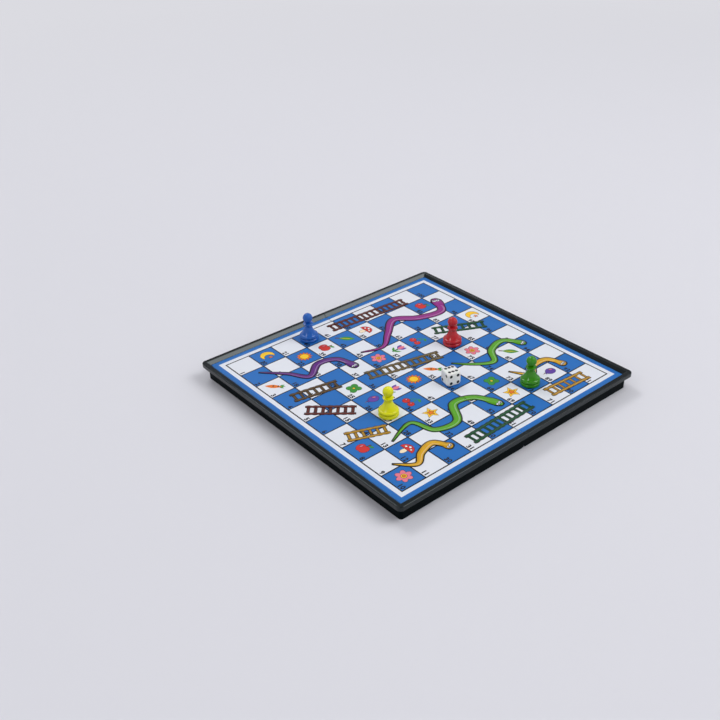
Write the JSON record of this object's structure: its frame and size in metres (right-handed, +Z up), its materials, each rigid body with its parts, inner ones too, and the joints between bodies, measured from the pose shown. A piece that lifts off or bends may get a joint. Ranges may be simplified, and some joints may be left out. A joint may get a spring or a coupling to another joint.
{
  "type": "snakes and ladders board",
  "caption": "Folding magnetic snakes and ladders board: hinged hollow tray halves with sheet playing faces, magnetic pawns and a die; folds flat into a case.",
  "frame": {"origin": "centre of the open board on the table plane, under the middle of the fold line", "axes": "+X along the fold line, +Y from the front half (first rows) towards the back half (last rows), +Z up out of the playing face"},
  "size_m": [0.25, 0.25, 0.0373],
  "materials": {
    "tray_plastic": "black moulded polystyrene, satin gloss",
    "sheet_steel": "plain tinned sheet",
    "printed_sheet": "printed and laminated sheet, smooth satin",
    "link_plastic": "black moulded acetal",
    "pin_steel": "drawn steel wire",
    "plated_magnet": "nickel plated",
    "pawn_blue_plastic": "glossy moulded",
    "pawn_red_plastic": "glossy moulded",
    "pawn_green_plastic": "glossy moulded",
    "pawn_yellow_plastic": "glossy moulded",
    "ferrite_magnet": "dark grey ground ferrite",
    "die_plastic": "polished white",
    "pip_paint": "black paint"
  },
  "bodies": {
    "board_front": {"tray_front": "tray_plastic", "steel_sheet_front": "sheet_steel", "print_sheet_front": "printed_sheet", "hinge_pin_front_left": "pin_steel", "hinge_pin_front_right": "pin_steel", "closure_magnet_front_left": "plated_magnet", "closure_magnet_front_right": "plated_magnet"},
    "hinge_links": {"hinge_link_left": "link_plastic", "hinge_link_right": "link_plastic"},
    "board_back": {"tray_back": "tray_plastic", "steel_sheet_back": "sheet_steel", "print_sheet_back": "printed_sheet", "hinge_pin_back_left": "pin_steel", "hinge_pin_back_right": "pin_steel", "closure_magnet_back_left": "plated_magnet", "closure_magnet_back_right": "plated_magnet"},
    "blue_pawn": {"pawn_blue": "pawn_blue_plastic", "pawn_magnet_blue": "ferrite_magnet"},
    "red_pawn": {"pawn_red": "pawn_red_plastic", "pawn_magnet_red": "ferrite_magnet"},
    "green_pawn": {"pawn_green": "pawn_green_plastic", "pawn_magnet_green": "ferrite_magnet"},
    "yellow_pawn": {"pawn_yellow": "pawn_yellow_plastic", "pawn_magnet_yellow": "ferrite_magnet"},
    "loose_die": {"die": "die_plastic", "die_pips": "pip_paint"}
  },
  "joints": [
    {"name": "link_fold", "type": "hinge", "parent": "board_front", "child": "hinge_links", "pos_m": [0, -0.00235, 0.0022], "axis": [-1, 0, 0], "range_deg": [0, 90]},
    {"name": "back_fold", "type": "hinge", "parent": "hinge_links", "child": "board_back", "pos_m": [0, 0.00235, 0.0022], "axis": [-1, 0, 0], "range_deg": [0, 90]},
    {"name": "blue_pawn_lift", "type": "slide", "parent": "board_front", "child": "blue_pawn", "axis": [0, 0, 1], "range_m": [0, 0.08]},
    {"name": "yellow_pawn_lift", "type": "slide", "parent": "board_front", "child": "yellow_pawn", "axis": [0, 0, 1], "range_m": [0, 0.08]},
    {"name": "red_pawn_lift", "type": "slide", "parent": "board_back", "child": "red_pawn", "axis": [0, 0, 1], "range_m": [0, 0.08]},
    {"name": "green_pawn_lift", "type": "slide", "parent": "board_back", "child": "green_pawn", "axis": [0, 0, 1], "range_m": [0, 0.08]},
    {"name": "die_lift", "type": "slide", "parent": "board_back", "child": "loose_die", "axis": [0, 0, 1], "range_m": [0, 0.08]}
  ]
}
